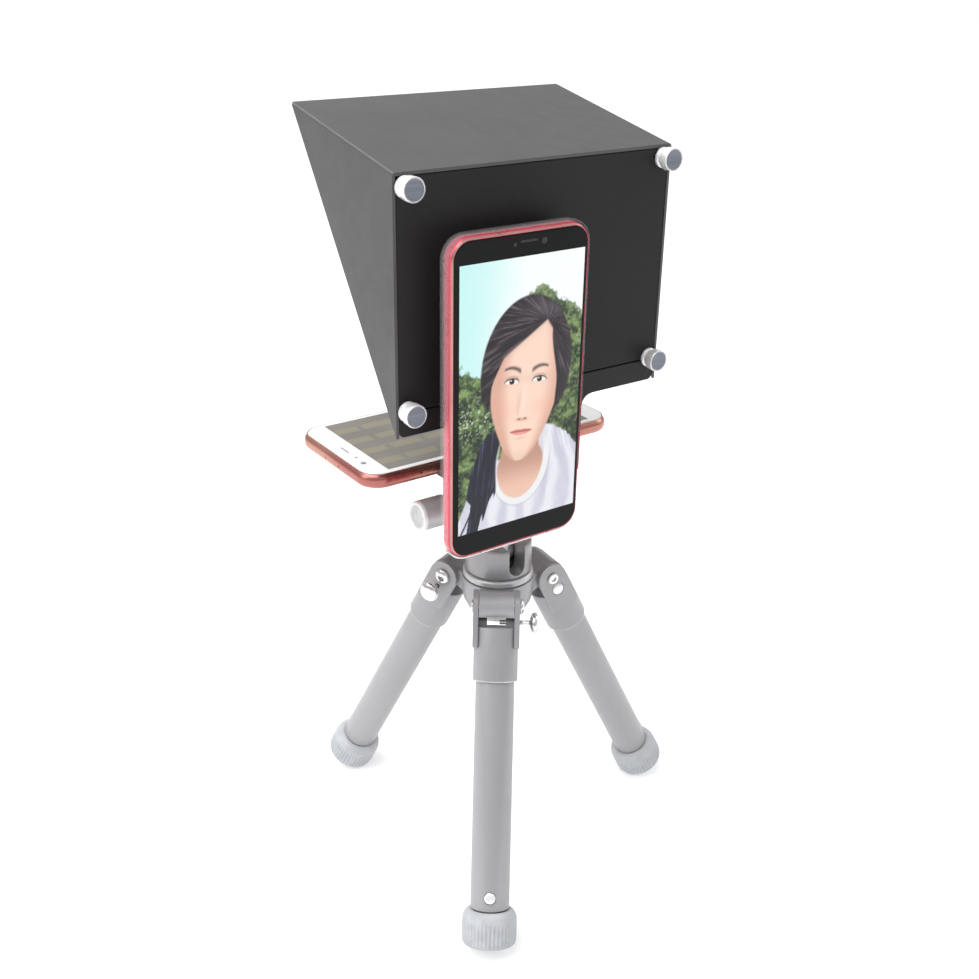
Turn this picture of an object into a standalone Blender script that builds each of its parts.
"""Phone teleprompter on a small folding tripod.

A folded hood holds a tilted beam-splitter glass over a display phone that lies
on a tray. A camera phone stands behind the hood on a magnetic mount and looks
through an opening in the rear panel. Hood, tray and phones sit on a clamp, a
ball head and a three-legged tripod.

All sizes below are in millimetres and measured from a point on the floor under the
tripod's vertical axis. build() turns them into metres and hangs every piece on
the stand, an empty that moves that point so that the world's origin is on the
floor under the middle of the whole object.
World frame: +Z up, -Y towards the presenter, +Y towards the operator.
"""
import math

import bmesh
import bpy
from mathutils import Matrix, Vector

MM = 0.001
GAP = 0.3                     # clearance between neighbouring pieces
PIN_BORE = 2.7                # bore of the pivots, knobs and mount hardware
SCREW_BORE = 2.4
STAND = (19.56, 5.50, 0.0)    # the tripod's axis, from the middle of the object

# --- driving dimensions: tripod -------------------------------------------
LEG_SPLAY = math.radians(26.8)
LEG_AZIMUTHS = [math.radians(53.9 + 120.0 * k) for k in range(3)]
PIVOT_RADIUS = 27.6
PIVOT_HEIGHT = 160.7
FORK_HALF = 12.1              # half width over the fork's cheeks
CHEEK_INNER = 9.4
CHEEK_RADIUS = 8.4
CHEEK_END = -21.4             # along the leg, from the pivot
CHEEK_CORNER = 1.5
CROWN_RADIUS = CHEEK_RADIUS + 0.4
COLLAR_RADIUS = 11.6
FORK_ROOT = -10.7             # along the leg, from the pivot
COLLAR_END = -38.7
TUBE_TOP = -24.3
TUBE_END = -155.2
TUBE_RADIUS = 10.1
TUBE_WALL = 1.2
INNER_RADIUS = 8.5
INNER_WALL = 1.6
FOOT_TOP = -155.8
FOOT_END = -174.0
FOOT_RADIUS = 14.2
PIN_OFFSET = -8.4
BOSS_INNER = 4.9
BUTTON_OFFSET = -148.3
BUTTON_RADIUS = 2.9
HUB_TOP = 165.2
HUB_RADIUS = 19.4
ARM_HALF = 9.0

# --- driving dimensions: head and clamp -----------------------------------
PAN_BASE_TOP = 169.2
HOUSING_RADIUS = 17.8
HOUSING_TOP = 187.0
BALL_CENTRE = 180.5
BALL_RADIUS = 9.0
DROP_SLOT_CENTRE = 176.6
DROP_SLOT_RADIUS = 5.0
STEM_RADIUS = 4.5
LOCK_KNOB_HEIGHT = 180.2
CLAMP_BOTTOM = 203.3
CLAMP_SEAT = 216.8
CLAMP_LIP = 222.3
PLATE_TOP = 226.9
CLAMP_HALF = 18.0
CLAMP_KNOB_HEIGHT = 212.6
CLAMP_KNOB_RADIUS = 7.9

# --- driving dimensions: hood ---------------------------------------------
HOOD_HALF = 78.0
HOOD_BOTTOM = 270.0
HOOD_TOP_REAR = 389.3
HOOD_TOP_FRONT = 407.5
REAR_FACE = 27.3
HOOD_DEPTH = 90.7
SHEET = 1.5
PANEL_THICK = 2.4
FLANGE_THICK = 2.0
SEAM_HEIGHT = 281.5
SCREW_X = 72.3
SCREW_Z_TOP = 383.2
SCREW_Z_LOW = 282.7
LENS_OPENING = (0.0, 343.0, 15.0)      # x, z, radius
GLASS_THICK = 2.0
GLASS_SPAN = (15.0, 155.0)             # along the hood's open front
GLASS_INWARD = 1.5
FOAM_SPAN = (20.5, 152.0)
FOAM_WIDTH = 5.0
FOAM_THICK = 3.0

# --- driving dimensions: bracket and tray ---------------------------------
TRAY_BOTTOM = 227.2
TRAY_THICK = 2.4
TRAY_FRONT = -81.4
TONGUE_LEFT = 32.0
TONGUE_RIGHT = -30.0
SLOT_CENTRE = (4.0, 250.0)
SLOT_HALF = 12.0

# --- driving dimensions: phones -------------------------------------------
CAMERA_CENTRE = (22.9, 286.4)          # x, z
CAMERA_GLASS = (73.0, 150.4)
CAMERA_BODY = (75.6, 153.0)
CAMERA_FRONT = 46.0
CAMERA_BODY_THICK = 7.4
CASE_WALL = 0.9
DISPLAY_CENTRE_Y = -39.7
DISPLAY_GLASS = (151.0, 73.0)
DISPLAY_BODY = (154.6, 76.6)
DISPLAY_BOTTOM = 231.0
DISPLAY_TOP = 239.15

# --- finishes: colour, roughness, metallic --------------------------------
FINISHES = {
    "hood_paint": ((0.055, 0.055, 0.058), 0.45, 0.1),
    "panel_black": ((0.022, 0.022, 0.023), 0.30, 0.0),
    "bracket_black": ((0.025, 0.024, 0.025), 0.38, 0.1),
    "prompter_glass": ((0.80, 0.86, 0.86), 0.03, 0.0),
    "foam_black": ((0.015, 0.015, 0.015), 0.95, 0.0),
    "thumbscrew_steel": ((0.62, 0.64, 0.68), 0.25, 1.0),
    "tripod_grey": ((0.42, 0.42, 0.43), 0.45, 0.3),
    "tripod_dark": ((0.30, 0.30, 0.31), 0.50, 0.3),
    "foot_rubber": ((0.47, 0.48, 0.50), 0.80, 0.0),
    "bright_steel": ((0.80, 0.80, 0.80), 0.15, 1.0),
    "rose_metal": ((0.62, 0.28, 0.24), 0.30, 0.9),
    "red_metal": ((0.72, 0.10, 0.16), 0.30, 0.8),
    "screen_black": ((0.010, 0.011, 0.012), 0.08, 0.0),
    "screen_white": ((0.80, 0.80, 0.80), 0.10, 0.0),
    "clear_case": ((0.85, 0.72, 0.72), 0.20, 0.0),
    "pad_rubber": ((0.03, 0.03, 0.03), 0.85, 0.0),
}

ROUND = 28                    # facets of the large turned pieces
SMALL = 16                    # facets of the small turned pieces


# --- mesh helpers ----------------------------------------------------------
def clear_scene():
    for thing in list(bpy.data.objects):
        bpy.data.objects.remove(thing, do_unlink=True)


def make_stand():
    stand = bpy.data.objects.new("stand", None)
    bpy.context.scene.collection.objects.link(stand)
    stand.location = Vector(STAND) * MM


def finish_material(name):
    material = bpy.data.materials.get(name)
    if material:
        return material
    colour, roughness, metallic = FINISHES[name]
    material = bpy.data.materials.new(name)
    material.use_nodes = True
    shader = material.node_tree.nodes["Principled BSDF"]
    shader.inputs["Base Color"].default_value = (*colour, 1.0)
    shader.inputs["Roughness"].default_value = roughness
    shader.inputs["Metallic"].default_value = metallic
    return material


def link_object(name, bm, origin, frame):
    """Write a millimetre bmesh as an object in metres, with its origin at origin."""
    bmesh.ops.translate(bm, verts=bm.verts, vec=-Vector(origin))
    bmesh.ops.scale(bm, verts=bm.verts, vec=(MM, MM, MM))
    bmesh.ops.recalc_face_normals(bm, faces=bm.faces)
    mesh = bpy.data.meshes.new(name)
    bm.to_mesh(mesh)
    bm.free()
    thing = bpy.data.objects.new(name, mesh)
    bpy.context.scene.collection.objects.link(thing)
    thing.location = Vector(origin) * MM
    thing.parent = frame or bpy.data.objects["stand"]
    return thing


def build(name, bm, finish, cuts=(), joins=(), origin=(0.0, 0.0, 0.0), frame=None):
    """Make one sub-part: a solid, then what is joined to it, then what is cut away."""
    thing = link_object(name, bm, origin, frame)
    thing.data.materials.append(finish_material(finish))
    thing.data.shade_smooth()
    thing.data.set_sharp_from_angle(angle=math.radians(35.0))
    for operation, tools in (("UNION", joins), ("DIFFERENCE", cuts)):
        for index, tool in enumerate(tools):
            guide = link_object(f"{name}_{operation.lower()}_{index}", tool, origin, frame)
            guide.hide_render = True
            guide.display_type = "WIRE"
            modifier = thing.modifiers.new(f"{operation.lower()}_{index}", "BOOLEAN")
            modifier.operation = operation
            modifier.solver = "EXACT"
            modifier.object = guide
    return thing


def arc(centre, radius, start, end, steps):
    """Points along an arc, angles in degrees, both ends included."""
    turn_step = math.radians(end - start) / steps
    angles = [math.radians(start) + turn_step * i for i in range(steps + 1)]
    return [(centre[0] + radius * math.cos(a), centre[1] + radius * math.sin(a)) for a in angles]


def rounded_outline(low, high, radius, steps=4):
    """A rectangle between two corners; radius is one number or four, from the low corner on."""
    radii = radius if isinstance(radius, (list, tuple)) else [radius] * 4
    corners = [(low[0], low[1], 180), (high[0], low[1], 270), (high[0], high[1], 0), (low[0], high[1], 90)]
    inward = [(1, 1), (-1, 1), (-1, -1), (1, -1)]
    points = []
    for (x, y, start), (sx, sy), r in zip(corners, inward, radii):
        if r <= 0.0:
            points.append((x, y))
        else:
            points += arc((x + sx * r, y + sy * r), r, start, start + 90, steps)
    return points


def slot_outline(centre, half, radius, steps=8):
    left = arc((centre[0] - half, centre[1]), radius, 90, 270, steps)
    right = arc((centre[0] + half, centre[1]), radius, -90, 90, steps)
    return left + right


def prism(outline, plane, start, end):
    """Extrude a closed outline drawn in the XY, XZ or YZ plane along the third axis."""
    spots = {"XY": (0, 1, 2), "XZ": (0, 2, 1), "YZ": (1, 2, 0)}[plane]
    bm = bmesh.new()
    rings = []
    for depth in (start, end):
        ring = []
        for u, v in outline:
            place = [0.0, 0.0, 0.0]
            place[spots[0]], place[spots[1]], place[spots[2]] = u, v, depth
            ring.append(bm.verts.new(place))
        rings.append(ring)
    bm.faces.new(rings[0])
    bm.faces.new(rings[1])
    count = len(outline)
    for i in range(count):
        j = (i + 1) % count
        bm.faces.new((rings[0][i], rings[0][j], rings[1][j], rings[1][i]))
    return bm


def box(low, high):
    return prism([(low[0], low[1]), (high[0], low[1]), (high[0], high[1]), (low[0], high[1])],
                 "XY", low[2], high[2])


def turned(profile, segments, centre=(0.0, 0.0, 0.0), direction=(0.0, 0.0, 1.0)):
    """Turn (radius, height) points about an axis. A radius of 0 closes on the axis."""
    bm = bmesh.new()
    rings = []
    for radius, height in profile:
        if radius == 0.0:
            rings.append([bm.verts.new((0.0, 0.0, height))])
            continue
        ring = []
        for i in range(segments):
            angle = 2.0 * math.pi * i / segments
            ring.append(bm.verts.new((radius * math.cos(angle), radius * math.sin(angle), height)))
        rings.append(ring)
    pairs = list(zip(rings, rings[1:]))
    if profile[0][0] > 0.0:
        pairs.append((rings[-1], rings[0]))
    for lower, upper in pairs:
        for i in range(segments):
            j = (i + 1) % segments
            corners = [lower[i % len(lower)], lower[j % len(lower)],
                       upper[j % len(upper)], upper[i % len(upper)]]
            bm.faces.new(list(dict.fromkeys(corners)))
    swing = Vector((0.0, 0.0, 1.0)).rotation_difference(Vector(direction)).to_matrix().to_4x4()
    bmesh.ops.transform(bm, verts=bm.verts, matrix=Matrix.Translation(centre) @ swing)
    return bm


def rod(radius, start, end, segments=SMALL, centre=(0.0, 0.0, 0.0), direction=(0.0, 0.0, 1.0)):
    profile = [(0.0, start), (radius, start), (radius, end), (0.0, end)]
    return turned(profile, segments, centre, direction)


def bevel_edges(bm, width, steps, wanted):
    """Bevel the edges whose two end points both pass the wanted test."""
    edges = [e for e in bm.edges if wanted(e.verts[0].co, e.verts[1].co)]
    bmesh.ops.bevel(bm, geom=edges, offset=width, segments=steps, profile=0.5, affect="EDGES")
    return bm


def slab(low, high, plane, start, end, corner, edge, steps=2, corner_steps=4, ends=None):
    """A plate with rounded corners whose rims at the chosen depths are rounded too."""
    rims = (start, end) if ends is None else ends
    depth_axis = {"XY": 2, "XZ": 1, "YZ": 0}[plane]
    bm = prism(rounded_outline(low, high, corner, corner_steps), plane, start, end)

    def on_rim(a, b):
        return any(abs(a[depth_axis] - rim) < 1e-4 and abs(b[depth_axis] - rim) < 1e-4 for rim in rims)

    return bevel_edges(bm, edge, steps, on_rim)


# --- hood ------------------------------------------------------------------
MOUTH_LENGTH = math.hypot(HOOD_DEPTH, HOOD_TOP_FRONT - HOOD_BOTTOM)
MOUTH_ALONG = (-HOOD_DEPTH / MOUTH_LENGTH, (HOOD_TOP_FRONT - HOOD_BOTTOM) / MOUTH_LENGTH)
MOUTH_INWARD = (MOUTH_ALONG[1], -MOUTH_ALONG[0])
PANEL_REAR = REAR_FACE - PANEL_THICK
FLANGE_FRONT = PANEL_REAR - GAP - FLANGE_THICK
HOOD_INSIDE = HOOD_HALF - SHEET
SCREWS = {
    "top_left": (SCREW_X, SCREW_Z_TOP),
    "top_right": (-SCREW_X, SCREW_Z_TOP),
    "bottom_left": (SCREW_X, SCREW_Z_LOW),
    "bottom_right": (-SCREW_X, SCREW_Z_LOW),
}


def at_mouth(along, inward):
    """A (y, z) point measured up the hood's open front and inwards from it."""
    y = REAR_FACE + along * MOUTH_ALONG[0] + inward * MOUTH_INWARD[0]
    z = HOOD_BOTTOM + along * MOUTH_ALONG[1] + inward * MOUTH_INWARD[1]
    return (y, z)


def mouth_plate(along_low, along_high, inward_low, inward_high, half_width):
    """A flat plate parallel to the open front."""
    outline = [at_mouth(along_low, inward_low), at_mouth(along_high, inward_low),
               at_mouth(along_high, inward_high), at_mouth(along_low, inward_high)]
    return prism(outline, "YZ", -half_width, half_width)


def roof_height(y, below):
    """Height of the sloping roof at depth y, less a distance measured straight down."""
    slope = (HOOD_TOP_FRONT - HOOD_TOP_REAR) / HOOD_DEPTH
    return HOOD_TOP_REAR + (REAR_FACE - y) * slope - below


def make_hood_shell():
    front = REAR_FACE - HOOD_DEPTH
    outline = [(REAR_FACE, HOOD_BOTTOM), (REAR_FACE, HOOD_TOP_REAR), (front, HOOD_TOP_FRONT)]
    shell = prism(outline, "YZ", -HOOD_HALF, HOOD_HALF)

    def side_roof_edge(a, b):
        return a.z > HOOD_TOP_REAR - 1.0 and b.z > HOOD_TOP_REAR - 1.0 and abs(a.x - b.x) < 0.1

    shell = bevel_edges(shell, 1.4, 3, side_roof_edge)
    lip = 1.2
    low_along = (FLANGE_FRONT - REAR_FACE - lip * MOUTH_INWARD[0]) / MOUTH_ALONG[0]
    high = at_mouth(160.0, lip)
    roof_front = (high[0], roof_height(high[0], SHEET))
    cavity = prism([at_mouth(low_along, lip), high, roof_front,
                    (FLANGE_FRONT, roof_height(FLANGE_FRONT, SHEET))], "YZ", -HOOD_INSIDE, HOOD_INSIDE)
    panel_seat = box((-HOOD_INSIDE, PANEL_REAR - GAP, HOOD_BOTTOM - 5.0),
                     (HOOD_INSIDE, REAR_FACE + 5.0, HOOD_TOP_REAR - SHEET))
    window = prism(rounded_outline((-64.0, 293.0), (64.0, 376.0), 4.0), "XZ",
                   FLANGE_FRONT - 1.0, PANEL_REAR + 1.0)
    mouth = mouth_plate(-10.0, 152.0, -3.0, lip + 0.2, HOOD_INSIDE - 3.0)
    holes = [rod(SCREW_BORE, FLANGE_FRONT - 1.0, PANEL_REAR + 1.0, SMALL, (x, 0.0, z), (0.0, 1.0, 0.0))
             for x, z in SCREWS.values()]
    return build("hood_shell", shell, "hood_paint", [cavity, panel_seat, window, mouth] + holes)


def make_rear_panel():
    half = HOOD_INSIDE - GAP
    low_edge = SEAM_HEIGHT + GAP
    high_edge = HOOD_TOP_REAR - SHEET - GAP
    panel = slab((-half, low_edge), (half, high_edge), "XZ", PANEL_REAR, REAR_FACE,
                 [0.6, 0.6, 3.0, 3.0], 0.35, 1, 4, (REAR_FACE,))
    holes = [rod(SCREW_BORE, PANEL_REAR - 1.0, REAR_FACE + 1.0, SMALL, (x, 0.0, z), (0.0, 1.0, 0.0))
             for x, z in SCREWS.values()]
    x, z, radius = LENS_OPENING
    opening = rod(radius, PANEL_REAR - 1.0, REAR_FACE + 1.0, ROUND, (x, 0.0, z), (0.0, 1.0, 0.0))
    return build("rear_panel", panel, "panel_black", holes + [opening])


def make_lens_seal():
    x, z, _ = LENS_OPENING
    low = REAR_FACE + GAP
    high = 36.9
    ring = turned([(14.0, low), (18.0, low), (18.0, high - 0.6), (17.4, high), (14.0, high)],
                  ROUND, (x, 0.0, z), (0.0, 1.0, 0.0))
    return build("lens_seal", ring, "foam_black")


def make_glass():
    half = HOOD_INSIDE - GAP - 0.1
    back = GLASS_INWARD + GLASS_THICK
    pane = mouth_plate(*GLASS_SPAN, GLASS_INWARD, back, half)
    build("glass_pane", pane, "prompter_glass")
    low = back + GAP
    high = low + FOAM_THICK
    frame = mouth_plate(*FOAM_SPAN, low, high, half)
    opening = mouth_plate(FOAM_SPAN[0] + FOAM_WIDTH, FOAM_SPAN[1] - FOAM_WIDTH, low - 1.0, high + 1.0,
                          half - FOAM_WIDTH)
    build("glass_frame", frame, "foam_black", [opening])


def make_thumbscrews():
    base = REAR_FACE + GAP
    profile = [(0.0, -5.2), (1.9, -5.2), (1.9, 0.0), (4.9, 0.0), (4.9, 1.4), (4.1, 1.8), (4.1, 3.6),
               (5.5, 4.0), (5.5, 8.1), (5.1, 8.6), (4.6, 8.6), (4.6, 8.4), (0.0, 8.4)]
    for name, (x, z) in SCREWS.items():
        screw = turned(profile, 18, (x, base, z), (0.0, 1.0, 0.0))
        build(f"thumbscrew_{name}", screw, "thumbscrew_steel", origin=(x, base, z))


# --- bracket, tray and camera mount ---------------------------------------
def make_base_bracket():
    half = HOOD_INSIDE - GAP
    strip = slab((-half, HOOD_BOTTOM), (half, SEAM_HEIGHT - GAP), "XZ", PANEL_REAR, REAR_FACE,
                 [2.6, 2.6, 0.4, 0.4], 0.3, 1, 4, (REAR_FACE,))
    big_fillet = 20.0
    small_fillet = 6.0
    root = HOOD_BOTTOM + 1.0
    left_arc = arc((TONGUE_LEFT + big_fillet, HOOD_BOTTOM - big_fillet), big_fillet, 90, 180, 8)
    right_arc = arc((TONGUE_RIGHT - small_fillet, HOOD_BOTTOM - small_fillet), small_fillet, 0, 90, 6)
    low = HOOD_BOTTOM - big_fillet - 1.0
    web = [(TONGUE_LEFT + big_fillet, root)] + left_arc + [(TONGUE_LEFT, low), (TONGUE_RIGHT, low)]
    web += right_arc + [(TONGUE_RIGHT - small_fillet, root)]
    web_plate = prism(web, "XZ", PANEL_REAR, REAR_FACE)
    tray_top = TRAY_BOTTOM + TRAY_THICK
    bend = 4.0
    outer = arc((REAR_FACE - bend, TRAY_BOTTOM + bend), bend, 0, -90, 5)
    lip_bend = arc((TRAY_FRONT + bend, TRAY_BOTTOM + bend), bend, -90, -180, 5)
    lip_top = 236.0
    inner = [(TRAY_FRONT + TRAY_THICK, lip_top), (TRAY_FRONT + TRAY_THICK, tray_top + 1.6),
             (TRAY_FRONT + TRAY_THICK + 1.6, tray_top)]
    inner_bend = [(PANEL_REAR - 1.6, tray_top), (PANEL_REAR, tray_top + 1.6)]
    section = [(REAR_FACE, low + 2.0)] + outer + lip_bend + [(TRAY_FRONT, lip_top)] + inner + inner_bend
    section.append((PANEL_REAR, low + 2.0))
    tray = prism(section, "YZ", TONGUE_RIGHT, TONGUE_LEFT)
    notches = [rod(SCREW_BORE, PANEL_REAR - 1.0, REAR_FACE + 1.0, SMALL, (x, 0.0, z), (0.0, 1.0, 0.0))
               for x, z in SCREWS.values() if z == SCREW_Z_LOW]
    slot = prism(slot_outline(SLOT_CENTRE, SLOT_HALF - PIN_BORE, PIN_BORE), "XZ",
                 PANEL_REAR - 1.0, REAR_FACE + 1.0)
    plate_hole = rod(3.6, TRAY_BOTTOM - 1.0, tray_top + 1.0, SMALL, (0.0, 9.0, 0.0))
    build("base_bracket", strip, "bracket_black", notches + [slot, plate_hole], [web_plate, tray])


def make_tray_pad():
    low = TRAY_BOTTOM + TRAY_THICK + 0.05
    pad = prism(rounded_outline((-27.0, -76.0), (27.0, -4.0), 3.0), "XY", low, low + 1.0)
    window = prism(rounded_outline((-19.0, -68.0), (19.0, -12.0), 2.0), "XY", low - 1.0, low + 2.0)
    build("tray_pad", pad, "pad_rubber", [window])


def make_camera_mount():
    x, z = SLOT_CENTRE
    puck = turned([(0.0, 19.5), (2.4, 19.5), (2.4, 27.7), (17.0, 27.7), (18.0, 28.7), (18.0, 35.0),
                   (17.2, 35.8), (0.0, 35.8)], ROUND, (x, 0.0, z), (0.0, 1.0, 0.0))
    build("magnet_puck", puck, "bright_steel", origin=(x, 27.7, z))
    nut = turned([(2.7, 19.0), (6.5, 19.0), (7.0, 19.5), (7.0, 24.1), (6.5, 24.6), (2.7, 24.6)],
                 SMALL, (x, 0.0, z), (0.0, 1.0, 0.0))
    build("mount_nut", nut, "bright_steel", origin=(x, 24.6, z))
    plate = turned([(0.0, 36.1), (17.0, 36.1), (17.0, 37.0), (0.0, 37.0)], ROUND,
                   (x, 0.0, z), (0.0, 1.0, 0.0))
    build("steel_plate", plate, "bright_steel", origin=(x, 36.1, z))


# --- camera phone ----------------------------------------------------------
CAMERA_SIDE_X = CAMERA_CENTRE[0] - CAMERA_BODY[0] / 2.0
CAMERA_BODY_FRONT = CAMERA_FRONT - 0.1
CAMERA_BACK = CAMERA_BODY_FRONT - CAMERA_BODY_THICK
CASE_BACK = CAMERA_BACK - GAP - CASE_WALL
CAMERA_ORIGIN = (SLOT_CENTRE[0], CAMERA_BACK, SLOT_CENTRE[1])
LENS_CORNER = (-9.0, 338.0, 3.0, 356.0)
CAMERA_BUTTONS = {"power": (296.0, 306.0), "volume": (312.0, 332.0)}


def centred(centre, size, grow=0.0):
    half_u = size[0] / 2.0 + grow
    half_v = size[1] / 2.0 + grow
    return (centre[0] - half_u, centre[1] - half_v), (centre[0] + half_u, centre[1] + half_v)


def make_camera_phone():
    low, high = centred(CAMERA_CENTRE, CAMERA_BODY)
    body = slab(low, high, "XZ", CAMERA_BACK, CAMERA_BODY_FRONT, 10.0, 1.6, 2, 5)
    glass_low, glass_high = centred(CAMERA_CENTRE, CAMERA_GLASS, 0.15)
    recess = prism(rounded_outline(glass_low, glass_high, 8.7, 5), "XZ",
                   CAMERA_FRONT - 1.2, CAMERA_FRONT + 1.0)
    x0, z0, x1, z1 = LENS_CORNER
    lens_seat = prism(rounded_outline((x0 - GAP, z0 - GAP), (x1 + GAP, z1 + GAP), 4.3), "XZ",
                      CAMERA_BACK - 1.0, CAMERA_BACK + 1.6)
    slots = [prism(rounded_outline((41.0, a - GAP), (43.4, b + GAP), 1.1, 3), "YZ",
                   CAMERA_SIDE_X - 1.0, CAMERA_SIDE_X + 1.3) for a, b in CAMERA_BUTTONS.values()]
    port = prism(slot_outline((CAMERA_CENTRE[0], 41.9), 3.2, 1.3, 4), "XY", low[1] - 1.0, low[1] + 3.0)
    build("camera_phone_body", body, "red_metal", [recess, lens_seat, port] + slots, origin=CAMERA_ORIGIN)

    low, high = centred(CAMERA_CENTRE, CAMERA_GLASS)
    glass = slab(low, high, "XZ", CAMERA_FRONT - 0.9, CAMERA_FRONT, 8.5, 0.3, 1, 5, (CAMERA_FRONT,))
    build("camera_phone_glass", glass, "screen_black", origin=CAMERA_ORIGIN)

    lens = slab((x0, z0), (x1, z1), "XZ", CAMERA_BACK - 0.9, CAMERA_BACK + 1.3, 4.0, 0.3, 1, 4,
                (CAMERA_BACK - 0.9,))
    build("camera_phone_lens", lens, "screen_black", origin=CAMERA_ORIGIN)

    for label, (a, b) in CAMERA_BUTTONS.items():
        button = prism(rounded_outline((41.3, a), (43.1, b), 0.85, 3), "YZ",
                       CAMERA_SIDE_X - 0.5, CAMERA_SIDE_X + 0.8)
        middle = (CAMERA_SIDE_X, 42.2, (a + b) / 2.0)
        build(f"camera_phone_{label}_button", button, "red_metal", origin=middle)


def make_camera_case():
    low, high = centred(CAMERA_CENTRE, CAMERA_BODY, GAP + CASE_WALL)
    rim = CAMERA_BODY_FRONT - 1.4
    case = slab(low, high, "XZ", CASE_BACK, rim, 11.0, 1.8, 2, 5, (CASE_BACK,))
    inner_low, inner_high = centred(CAMERA_CENTRE, CAMERA_BODY, GAP)
    hollow = slab(inner_low, inner_high, "XZ", CASE_BACK + CASE_WALL, rim + 3.0, 10.2, 1.2, 2, 5,
                  (CASE_BACK + CASE_WALL,))
    x0, z0, x1, z1 = LENS_CORNER
    window = prism(rounded_outline((x0 - 1.2, z0 - 1.2), (x1 + 1.2, z1 + 1.2), 5.0), "XZ",
                   CASE_BACK - 1.0, CAMERA_BACK + 0.5)
    first = min(a for a, _ in CAMERA_BUTTONS.values())
    last = max(b for _, b in CAMERA_BUTTONS.values())
    side_x = low[0]
    buttons = prism(rounded_outline((40.2, first - 2.0), (44.0, last + 2.0), 1.6), "YZ",
                    side_x - 1.0, side_x + CASE_WALL + 0.6)
    port = prism(slot_outline((CAMERA_CENTRE[0], 41.9), 5.0, 2.2, 4), "XY", low[1] - 1.0, low[1] + 2.0)
    build("camera_phone_case", case, "clear_case", [hollow, window, buttons, port], origin=CAMERA_ORIGIN)


# --- display phone ---------------------------------------------------------
DISPLAY_CENTRE = (0.0, DISPLAY_CENTRE_Y)
DISPLAY_ORIGIN = (0.0, DISPLAY_CENTRE_Y, DISPLAY_BOTTOM)
DISPLAY_BUTTONS = {"power": (37.0, 45.0), "volume": (49.0, 64.0)}


def make_display_phone():
    low, high = centred(DISPLAY_CENTRE, DISPLAY_BODY)
    body = slab(low, high, "XY", DISPLAY_BOTTOM, DISPLAY_TOP - 0.15, 12.0, 2.6, 3, 6)
    glass_low, glass_high = centred(DISPLAY_CENTRE, DISPLAY_GLASS, 0.15)
    recess = prism(rounded_outline(glass_low, glass_high, 10.5, 5), "XY",
                   DISPLAY_TOP - 1.2, DISPLAY_TOP + 1.0)
    side_y = low[1]
    slots = [prism(rounded_outline((a - GAP, 234.2), (b + GAP, 236.6), 1.1, 3), "XZ",
                   side_y - 1.0, side_y + 1.3) for a, b in DISPLAY_BUTTONS.values()]
    build("display_phone_body", body, "rose_metal", [recess] + slots, origin=DISPLAY_ORIGIN)

    low, high = centred(DISPLAY_CENTRE, DISPLAY_GLASS)
    glass = slab(low, high, "XY", DISPLAY_TOP - 0.9, DISPLAY_TOP, 10.3, 0.3, 1, 5, (DISPLAY_TOP,))
    build("display_phone_glass", glass, "screen_white", origin=DISPLAY_ORIGIN)

    for label, (a, b) in DISPLAY_BUTTONS.items():
        button = prism(rounded_outline((a, 234.5), (b, 236.3), 0.85, 3), "XZ", side_y - 0.5, side_y + 0.8)
        build(f"display_phone_{label}_button", button, "rose_metal", origin=((a + b) / 2.0, side_y, 235.4))


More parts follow.
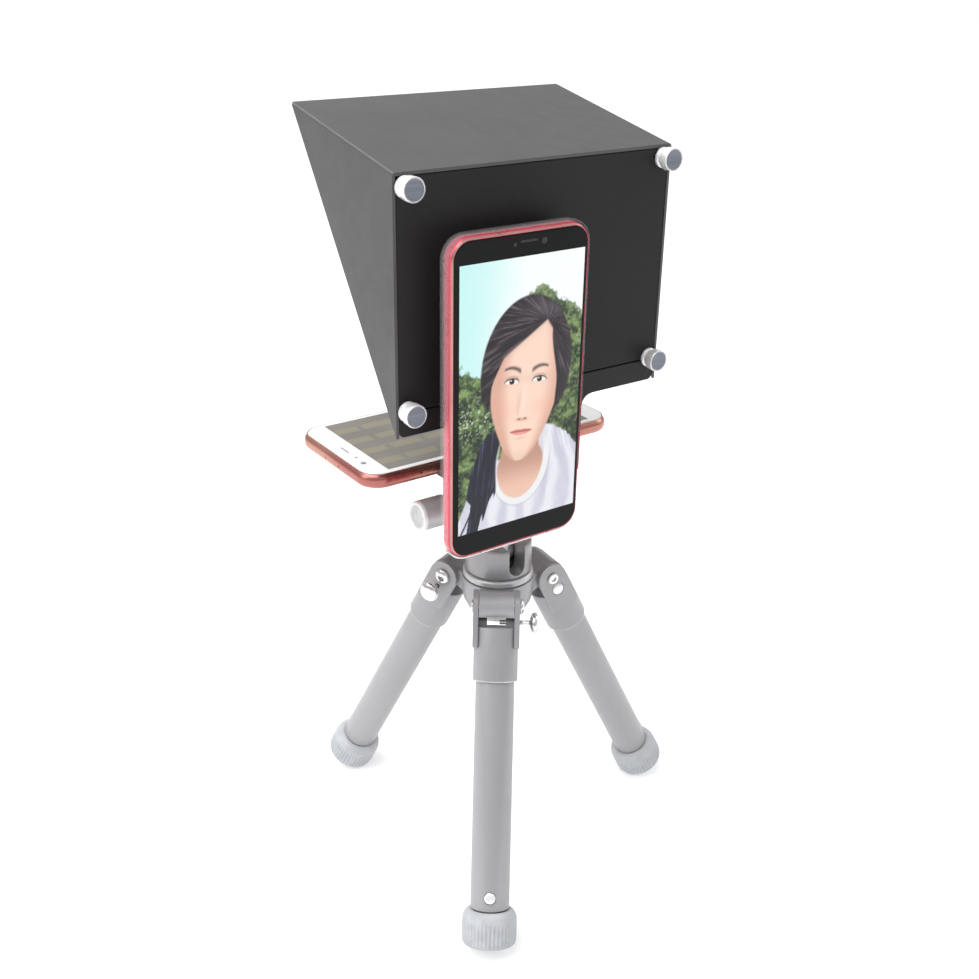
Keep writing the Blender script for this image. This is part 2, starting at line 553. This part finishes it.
# --- clamp -----------------------------------------------------------------
def make_clamp():
    lip = [(-24.0, CLAMP_BOTTOM), (14.0, CLAMP_BOTTOM), (14.0, CLAMP_SEAT), (-18.3, CLAMP_SEAT),
           (-18.3, 218.6), (-15.3, 221.6), (-15.3, CLAMP_LIP), (-24.0, CLAMP_LIP)]
    body = prism(lip, "XZ", -CLAMP_HALF, CLAMP_HALF)
    bore = rod(PIN_BORE, -14.0, 15.0, SMALL, (0.0, 0.0, CLAMP_KNOB_HEIGHT), (1.0, 0.0, 0.0))
    build("clamp_body", body, "tripod_dark", [bore])

    jaw_outline = [(14.4, CLAMP_BOTTOM), (24.0, CLAMP_BOTTOM), (24.0, CLAMP_LIP), (15.3, CLAMP_LIP),
                   (15.3, 221.6), (18.3, 218.6), (18.3, CLAMP_SEAT), (14.4, CLAMP_SEAT)]
    jaw = prism(jaw_outline, "XZ", -CLAMP_HALF, CLAMP_HALF)
    bore = rod(PIN_BORE, 13.0, 25.0, SMALL, (0.0, 0.0, CLAMP_KNOB_HEIGHT), (1.0, 0.0, 0.0))
    build("clamp_jaw", jaw, "tripod_dark", [bore], origin=(14.4, 0.0, CLAMP_KNOB_HEIGHT))

    knob_profile = [(0.0, -10.0), (2.4, -10.0), (2.4, 24.3), (4.6, 24.3), (4.6, 33.5), (7.1, 33.5),
                    (CLAMP_KNOB_RADIUS, 34.6), (CLAMP_KNOB_RADIUS, 50.2), (7.3, 51.0), (6.4, 51.0),
                    (6.4, 50.4), (0.0, 50.4)]
    knob = turned(knob_profile, 20, (0.0, 0.0, CLAMP_KNOB_HEIGHT), (1.0, 0.0, 0.0))
    build("clamp_knob", knob, "tripod_dark", origin=(34.0, 0.0, CLAMP_KNOB_HEIGHT))

    foot = CLAMP_SEAT + GAP
    dovetail = [(-17.9, foot), (17.9, foot), (17.9, 218.4), (14.8, 221.5), (14.8, 222.8), (19.0, 222.8),
                (19.0, PLATE_TOP), (-19.0, PLATE_TOP), (-19.0, 222.8), (-14.8, 222.8), (-14.8, 221.5),
                (-17.9, 218.4)]
    plate = prism(dovetail, "XZ", -19.0, 19.0)
    hole = rod(3.5, foot - 1.0, PLATE_TOP + 1.0, SMALL, (0.0, 9.0, 0.0))
    counterbore = rod(6.0, foot - 1.0, foot + 3.2, SMALL, (0.0, 9.0, 0.0))
    build("dovetail_plate", plate, "tripod_dark", [hole, counterbore])

    head = foot + 0.3
    nut_low = TRAY_BOTTOM + TRAY_THICK + GAP
    screw = turned([(0.0, head), (5.6, head), (5.6, head + 2.6), (3.1, head + 2.6), (3.1, nut_low),
                    (5.2, nut_low), (5.2, nut_low + 3.0), (0.0, nut_low + 3.0)], SMALL, (0.0, 9.0, 0.0))
    build("plate_screw", screw, "bright_steel")


# --- ball head -------------------------------------------------------------
def make_ball_head():
    inner = BALL_RADIUS + 0.4
    floor = 171.2
    mouth_height = 185.4
    cap_start = math.degrees(math.asin(1.2 / inner))
    cap_end = math.degrees(math.asin((mouth_height - BALL_CENTRE) / inner))
    cap = arc((0.0, BALL_CENTRE), inner, cap_start, cap_end, 4)
    shell = [(8.0, 158.5), (8.0, PAN_BASE_TOP + GAP), (HOUSING_RADIUS - 0.6, PAN_BASE_TOP + GAP),
             (HOUSING_RADIUS, PAN_BASE_TOP + 0.9), (HOUSING_RADIUS, HOUSING_TOP - 2.4),
             (HOUSING_RADIUS - 0.7, HOUSING_TOP - 0.8), (HOUSING_RADIUS - 2.4, HOUSING_TOP),
             (inner, HOUSING_TOP)]
    shell += list(reversed(cap)) + [(inner, floor), (3.0, floor), (3.0, 158.5)]
    housing = turned(shell, ROUND)
    drop = arc((0.0, DROP_SLOT_CENTRE), DROP_SLOT_RADIUS, 180, 360, 8)
    drop += [(DROP_SLOT_RADIUS, HOUSING_TOP + 3.0), (-DROP_SLOT_RADIUS, HOUSING_TOP + 3.0)]
    drop_slot = prism(drop, "XZ", 0.0, HOUSING_RADIUS + 2.0)
    knob_bore = rod(PIN_BORE, 7.0, 20.0, SMALL, (0.0, 0.0, LOCK_KNOB_HEIGHT), (0.0, -1.0, 0.0))
    build("ball_housing", housing, "tripod_grey", [drop_slot, knob_bore])

    cup = turned([(4.9, floor + 0.2), (9.1, floor + 0.2), (9.1, floor + 4.2), (8.1, floor + 4.2),
                  (4.9, floor + 0.8)], ROUND)
    build("friction_cup", cup, "pad_rubber")

    neck = math.degrees(math.acos(STEM_RADIUS / BALL_RADIUS))
    ball = [(0.0, BALL_CENTRE - BALL_RADIUS)]
    ball += arc((0.0, BALL_CENTRE), BALL_RADIUS, -76, neck, 11)
    ball += [(STEM_RADIUS, 198.0), (8.5, 200.0), (11.5, 200.6), (11.5, CLAMP_BOTTOM - 0.02),
             (0.0, CLAMP_BOTTOM - 0.02)]
    build("ball_stem", turned(ball, 24), "bright_steel", origin=(0.0, 0.0, BALL_CENTRE))

    knob = turned([(0.0, 9.7), (2.4, 9.7), (2.4, 18.2), (4.0, 18.2), (4.0, 23.0), (6.3, 23.0),
                   (7.0, 24.0), (7.0, 37.0), (6.2, 38.0), (0.0, 38.0)], SMALL,
                  (0.0, 0.0, LOCK_KNOB_HEIGHT), (0.0, -1.0, 0.0))
    build("ball_lock_knob", knob, "tripod_dark", origin=(0.0, -20.0, LOCK_KNOB_HEIGHT))

    ring = turned([(8.4, HUB_TOP + GAP), (18.2, HUB_TOP + GAP), (18.9, HUB_TOP + 0.9),
                   (18.9, PAN_BASE_TOP - 0.7), (18.2, PAN_BASE_TOP), (8.4, PAN_BASE_TOP)], ROUND)
    build("pan_base", ring, "tripod_grey")

    bolt = turned([(0.0, 150.4), (9.4, 150.4), (9.4, 153.4), (2.7, 153.4), (2.7, 170.4),
                   (0.0, 170.4)], SMALL)
    build("pan_bolt", bolt, "bright_steel")


# --- tripod ----------------------------------------------------------------
def make_leg_frame(index):
    """An empty on the fold pivot: its X runs along the pivot, its Z up the leg."""
    azimuth = LEG_AZIMUTHS[index]
    frame = bpy.data.objects.new(f"leg_{index + 1}_frame", None)
    bpy.context.scene.collection.objects.link(frame)
    frame.parent = bpy.data.objects["stand"]
    outward = Vector((math.cos(azimuth), math.sin(azimuth), 0.0))
    frame.location = (outward * PIVOT_RADIUS + Vector((0.0, 0.0, PIVOT_HEIGHT))) * MM
    frame.rotation_euler = (-LEG_SPLAY, 0.0, azimuth + math.pi / 2.0)
    return frame


def make_arm_outline():
    """The arm between the cheeks, in (outward, up) from the pivot."""
    knuckle = arc((0.0, 0.0), 5.6, -142, -12, 9)
    crown = arc((0.0, 0.0), CROWN_RADIUS, -12, 90, 10)
    inner_top = HUB_TOP - PIVOT_HEIGHT - 0.6
    return [(-16.5, -10.0)] + knuckle + crown + [(-8.2, inner_top), (-16.5, inner_top)]


def make_pocket_outline():
    """Room for a fork that folds about the pivot, in (outward, up) from the pivot."""
    sweep = arc((0.0, 0.0), 18.2, -146, 20, 12)
    return sweep + arc((0.0, 0.0), CHEEK_RADIUS + 0.8, 20, 214, 12)


def radial_prism(outline, half_width, azimuth):
    """Extrude an (outward, up) outline about a leg's pivot across the leg's plane."""
    bm = prism([(u + PIVOT_RADIUS, v + PIVOT_HEIGHT) for u, v in outline], "XZ", -half_width, half_width)
    bmesh.ops.rotate(bm, verts=bm.verts, cent=(0.0, 0.0, 0.0), matrix=Matrix.Rotation(azimuth, 3, "Z"))
    return bm


def make_spider():
    hub = turned([(0.0, 141.0), (11.0, 141.0), (14.5, 143.6), (18.6, 152.0), (HUB_RADIUS, 157.0),
                  (HUB_RADIUS, HUB_TOP), (0.0, HUB_TOP)], ROUND)
    pockets = [radial_prism(make_pocket_outline(), FORK_HALF + 0.6, a) for a in LEG_AZIMUTHS]
    arms = [radial_prism(make_arm_outline(), ARM_HALF, a) for a in LEG_AZIMUTHS]
    core = turned([(0.0, 142.2), (11.2, 142.2), (11.2, HUB_TOP - 0.3), (0.0, HUB_TOP - 0.3)], 28)
    centre_bore = turned([(0.0, 130.0), (9.8, 130.0), (9.8, 153.9), (3.1, 153.9), (3.1, 158.0),
                          (8.4, 158.0), (8.4, 170.0), (0.0, 170.0)], 28)
    bores = []
    for azimuth in LEG_AZIMUTHS:
        bore = rod(PIN_BORE, -20.0, 20.0, SMALL, (PIVOT_RADIUS, 0.0, PIVOT_HEIGHT), (0.0, 1.0, 0.0))
        swing = Matrix.Rotation(azimuth, 3, "Z")
        bmesh.ops.rotate(bore, verts=bore.verts, cent=(0.0, 0.0, 0.0), matrix=swing)
        bores.append(bore)
    spider = build("spider", hub, "tripod_grey")
    steps = [("DIFFERENCE", tool) for tool in pockets]
    steps += [("UNION", tool) for tool in [core] + arms]
    steps += [("DIFFERENCE", tool) for tool in [centre_bore] + bores]
    for index, (operation, tool) in enumerate(steps):
        guide = link_object(f"spider_step_{index}", tool, (0.0, 0.0, 0.0), None)
        guide.hide_render = True
        guide.display_type = "WIRE"
        modifier = spider.modifiers.new(f"step_{index}", "BOOLEAN")
        modifier.operation = operation
        modifier.solver = "EXACT"
        modifier.object = guide


def make_leg(index):
    frame = make_leg_frame(index)
    name = f"leg_{index + 1}"

    collar = turned([(0.0, FORK_ROOT), (COLLAR_RADIUS, FORK_ROOT), (COLLAR_RADIUS, COLLAR_END + 0.8),
                     (COLLAR_RADIUS - 0.8, COLLAR_END), (TUBE_RADIUS + GAP, COLLAR_END),
                     (TUBE_RADIUS + GAP, TUBE_TOP + GAP), (0.0, TUBE_TOP + GAP)], 24)
    corner_out = CHEEK_RADIUS - CHEEK_CORNER
    corner_up = CHEEK_END + CHEEK_CORNER
    cheek = arc((0.0, 0.0), CHEEK_RADIUS, 0, 180, 14)
    cheek += arc((-corner_out, corner_up), CHEEK_CORNER, 180, 270, 3)
    cheek += arc((corner_out, corner_up), CHEEK_CORNER, 270, 360, 3)
    cheeks = [prism(cheek, "YZ", side * CHEEK_INNER, side * FORK_HALF) for side in (-1, 1)]
    boss = arc((0.0, PIN_OFFSET), 2.1, 0, 180, 8) + [(-2.1, FORK_ROOT - 1.0), (2.1, FORK_ROOT - 1.0)]
    bosses = [prism(boss, "YZ", side * BOSS_INNER, side * (CHEEK_INNER + 0.5)) for side in (-1, 1)]
    pivot_hole = rod(PIN_BORE, -20.0, 20.0, SMALL, (0.0, 0.0, 0.0), (1.0, 0.0, 0.0))
    pin_hole = rod(1.5, 3.0, 20.0, 16, (0.0, 0.0, PIN_OFFSET), (1.0, 0.0, 0.0))
    cap_seat = rod(3.7, -14.0, -10.6, SMALL, (0.0, 0.0, PIN_OFFSET), (1.0, 0.0, 0.0))
    build(f"{name}_fork", collar, "tripod_grey", [pivot_hole, pin_hole, cap_seat], cheeks + bosses,
          frame=frame)

    wall = TUBE_RADIUS - TUBE_WALL
    tube = turned([(wall, TUBE_END), (TUBE_RADIUS - 0.3, TUBE_END), (TUBE_RADIUS, TUBE_END + 0.3),
                   (TUBE_RADIUS, TUBE_TOP), (wall, TUBE_TOP)], 24)
    button_hole = rod(BUTTON_RADIUS + GAP, 5.0, 14.0, 20, (0.0, 0.0, BUTTON_OFFSET), (0.0, -1.0, 0.0))
    build(f"{name}_outer_tube", tube, "tripod_grey", [button_hole], frame=frame)

    wall = INNER_RADIUS - INNER_WALL
    inner = turned([(wall, FOOT_END + 8.2), (INNER_RADIUS, FOOT_END + 8.2), (INNER_RADIUS, TUBE_TOP - 5.0),
                    (wall, TUBE_TOP - 5.0)], 24)
    keyway = box((-3.3, -INNER_RADIUS - 1.0, -152.0), (3.3, -INNER_RADIUS + 0.9, TUBE_TOP))
    build(f"{name}_inner_tube", inner, "bright_steel", [keyway], frame=frame)

    foot = turned([(0.0, FOOT_END), (11.8, FOOT_END), (13.6, FOOT_END + 0.9), (FOOT_RADIUS, FOOT_END + 3.0),
                   (FOOT_RADIUS, FOOT_TOP - 4.4), (13.2, FOOT_TOP - 1.6), (11.4, FOOT_TOP),
                   (INNER_RADIUS + GAP, FOOT_TOP), (INNER_RADIUS + GAP, FOOT_END + 7.8),
                   (0.0, FOOT_END + 7.8)], 24)
    build(f"{name}_foot", foot, "foot_rubber", frame=frame)

    bolt = turned([(0.0, -13.3), (3.15, -13.3), (3.15, -12.4), (2.4, -12.4), (2.4, 12.4), (4.2, 12.4),
                   (4.2, 13.9), (3.5, 14.5), (2.0, 14.5), (2.0, 13.5), (0.0, 13.5)],
                  14, (0.0, 0.0, 0.0), (1.0, 0.0, 0.0))
    build(f"{name}_pivot_bolt", bolt, "bright_steel", frame=frame)

    pin = turned([(0.0, 1.5), (1.2, 1.5), (1.2, 17.4), (2.6, 17.4), (5.2, 18.6), (5.6, 19.8), (5.2, 21.0),
                  (3.0, 21.9), (0.0, 22.1)], 14, (0.0, 0.0, PIN_OFFSET), (1.0, 0.0, 0.0))
    build(f"{name}_pull_pin", pin, "bright_steel", origin=(0.0, 0.0, PIN_OFFSET), frame=frame)

    cap = turned([(0.0, -12.7), (3.0, -12.7), (3.4, -12.4), (3.4, -10.9), (0.0, -10.9)], 14,
                 (0.0, 0.0, PIN_OFFSET), (1.0, 0.0, 0.0))
    build(f"{name}_pin_cap", cap, "bright_steel", frame=frame)

    button = turned([(0.0, 9.3), (BUTTON_RADIUS, 9.3), (BUTTON_RADIUS, 10.2), (2.2, 10.7), (0.0, 10.9)], 14,
                    (0.0, 0.0, BUTTON_OFFSET), (0.0, -1.0, 0.0))
    build(f"{name}_release_button", button, "bright_steel", origin=(0.0, 0.0, BUTTON_OFFSET), frame=frame)


def main():
    clear_scene()
    make_stand()
    make_hood_shell()
    make_rear_panel()
    make_lens_seal()
    make_glass()
    make_thumbscrews()
    make_base_bracket()
    make_tray_pad()
    make_camera_mount()
    make_camera_phone()
    make_camera_case()
    make_display_phone()
    make_clamp()
    make_ball_head()
    make_spider()
    for index in range(len(LEG_AZIMUTHS)):
        make_leg(index)
    bpy.context.view_layer.update()


main()
